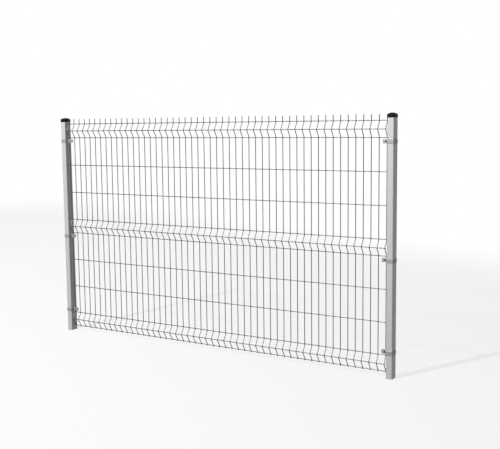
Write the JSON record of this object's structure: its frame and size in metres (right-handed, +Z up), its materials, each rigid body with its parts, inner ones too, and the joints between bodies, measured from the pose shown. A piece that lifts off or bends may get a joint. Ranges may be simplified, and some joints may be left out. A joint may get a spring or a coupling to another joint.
{
  "type": "mesh fence panel",
  "caption": "Bay of rigid welded wire mesh fencing with V folds, held by bolted strap clamps between rectangular hollow posts with push-on caps.",
  "frame": {"origin": "on the ground, midway between the posts and in the plane of the straight stretches of the wires", "axes": "+X along the fence, to the right seen from the front; +Y to the back; +Z up. The folds stand out to the front, -Y"},
  "size_m": [2.609, 0.064, 1.579],
  "materials": {
    "post_steel": "galvanised, satin",
    "wire_steel": "galvanised, dull",
    "clamp_steel": "galvanised, dull",
    "cap_plastic": "black, satin",
    "fastener_steel": "blackened"
  },
  "bodies": {
    "panel_and_posts": {"left_post": "post_steel", "right_post": "post_steel", "left_bottom_strap": "clamp_steel", "left_middle_strap": "clamp_steel", "left_top_strap": "clamp_steel", "right_bottom_strap": "clamp_steel", "right_middle_strap": "clamp_steel", "right_top_strap": "clamp_steel", "left_edge_wire": "wire_steel", "right_edge_wire": "wire_steel", "inner_vertical_wires": "wire_steel", "bottom_fold_lower_wire": "wire_steel", "bottom_fold_crest_wire": "wire_steel", "bottom_fold_upper_wire": "wire_steel", "middle_fold_lower_wire": "wire_steel", "middle_fold_crest_wire": "wire_steel", "middle_fold_upper_wire": "wire_steel", "top_fold_lower_wire": "wire_steel", "top_fold_crest_wire": "wire_steel", "top_fold_upper_wire": "wire_steel", "plain_cross_wire_1": "wire_steel", "plain_cross_wire_2": "wire_steel", "plain_cross_wire_3": "wire_steel", "plain_cross_wire_4": "wire_steel"},
    "left_cap": {"left_post_cap": "cap_plastic"},
    "left_bottom_bolt_body": {"left_bottom_bolt": "fastener_steel"},
    "left_bottom_nut_body": {"left_bottom_nut": "fastener_steel"},
    "left_middle_bolt_body": {"left_middle_bolt": "fastener_steel"},
    "left_middle_nut_body": {"left_middle_nut": "fastener_steel"},
    "left_top_bolt_body": {"left_top_bolt": "fastener_steel"},
    "left_top_nut_body": {"left_top_nut": "fastener_steel"},
    "right_cap": {"right_post_cap": "cap_plastic"},
    "right_bottom_bolt_body": {"right_bottom_bolt": "fastener_steel"},
    "right_bottom_nut_body": {"right_bottom_nut": "fastener_steel"},
    "right_middle_bolt_body": {"right_middle_bolt": "fastener_steel"},
    "right_middle_nut_body": {"right_middle_nut": "fastener_steel"},
    "right_top_bolt_body": {"right_top_bolt": "fastener_steel"},
    "right_top_nut_body": {"right_top_nut": "fastener_steel"}
  },
  "joints": [
    {"name": "left_cap_lift", "type": "slide", "parent": "panel_and_posts", "child": "left_cap", "axis": [0, 0, 1], "range_m": [0, 0.03]},
    {"name": "left_bottom_bolt_turn", "type": "hinge", "parent": "panel_and_posts", "child": "left_bottom_bolt_body", "pos_m": [-1.2435, 0, 0.1575], "axis": [0, -1, 0], "range_deg": [0, 1800]},
    {"name": "left_bottom_nut_travel", "type": "slide", "parent": "panel_and_posts", "child": "left_bottom_nut_body", "axis": [0, 1, 0], "range_m": [0, 0.005]},
    {"name": "left_middle_bolt_turn", "type": "hinge", "parent": "panel_and_posts", "child": "left_middle_bolt_body", "pos_m": [-1.2435, 0, 0.7125], "axis": [0, -1, 0], "range_deg": [0, 1800]},
    {"name": "left_middle_nut_travel", "type": "slide", "parent": "panel_and_posts", "child": "left_middle_nut_body", "axis": [0, 1, 0], "range_m": [0, 0.005]},
    {"name": "left_top_bolt_turn", "type": "hinge", "parent": "panel_and_posts", "child": "left_top_bolt_body", "pos_m": [-1.2435, 0, 1.4125], "axis": [0, -1, 0], "range_deg": [0, 1800]},
    {"name": "left_top_nut_travel", "type": "slide", "parent": "panel_and_posts", "child": "left_top_nut_body", "axis": [0, 1, 0], "range_m": [0, 0.005]},
    {"name": "right_cap_lift", "type": "slide", "parent": "panel_and_posts", "child": "right_cap", "axis": [0, 0, 1], "range_m": [0, 0.03]},
    {"name": "right_bottom_bolt_turn", "type": "hinge", "parent": "panel_and_posts", "child": "right_bottom_bolt_body", "pos_m": [1.2435, 0, 0.1575], "axis": [0, -1, 0], "range_deg": [0, 1800]},
    {"name": "right_bottom_nut_travel", "type": "slide", "parent": "panel_and_posts", "child": "right_bottom_nut_body", "axis": [0, 1, 0], "range_m": [0, 0.005]},
    {"name": "right_middle_bolt_turn", "type": "hinge", "parent": "panel_and_posts", "child": "right_middle_bolt_body", "pos_m": [1.2435, 0, 0.7125], "axis": [0, -1, 0], "range_deg": [0, 1800]},
    {"name": "right_middle_nut_travel", "type": "slide", "parent": "panel_and_posts", "child": "right_middle_nut_body", "axis": [0, 1, 0], "range_m": [0, 0.005]},
    {"name": "right_top_bolt_turn", "type": "hinge", "parent": "panel_and_posts", "child": "right_top_bolt_body", "pos_m": [1.2435, 0, 1.4125], "axis": [0, -1, 0], "range_deg": [0, 1800]},
    {"name": "right_top_nut_travel", "type": "slide", "parent": "panel_and_posts", "child": "right_top_nut_body", "axis": [0, 1, 0], "range_m": [0, 0.005]}
  ],
  "couplings": [
    {"joint": "left_bottom_bolt_turn", "follows": "left_bottom_nut_travel", "rad_per_m": 6283.2},
    {"joint": "left_middle_bolt_turn", "follows": "left_middle_nut_travel", "rad_per_m": 6283.2},
    {"joint": "left_top_bolt_turn", "follows": "left_top_nut_travel", "rad_per_m": 6283.2},
    {"joint": "right_bottom_bolt_turn", "follows": "right_bottom_nut_travel", "rad_per_m": 6283.2},
    {"joint": "right_middle_bolt_turn", "follows": "right_middle_nut_travel", "rad_per_m": 6283.2},
    {"joint": "right_top_bolt_turn", "follows": "right_top_nut_travel", "rad_per_m": 6283.2}
  ]
}
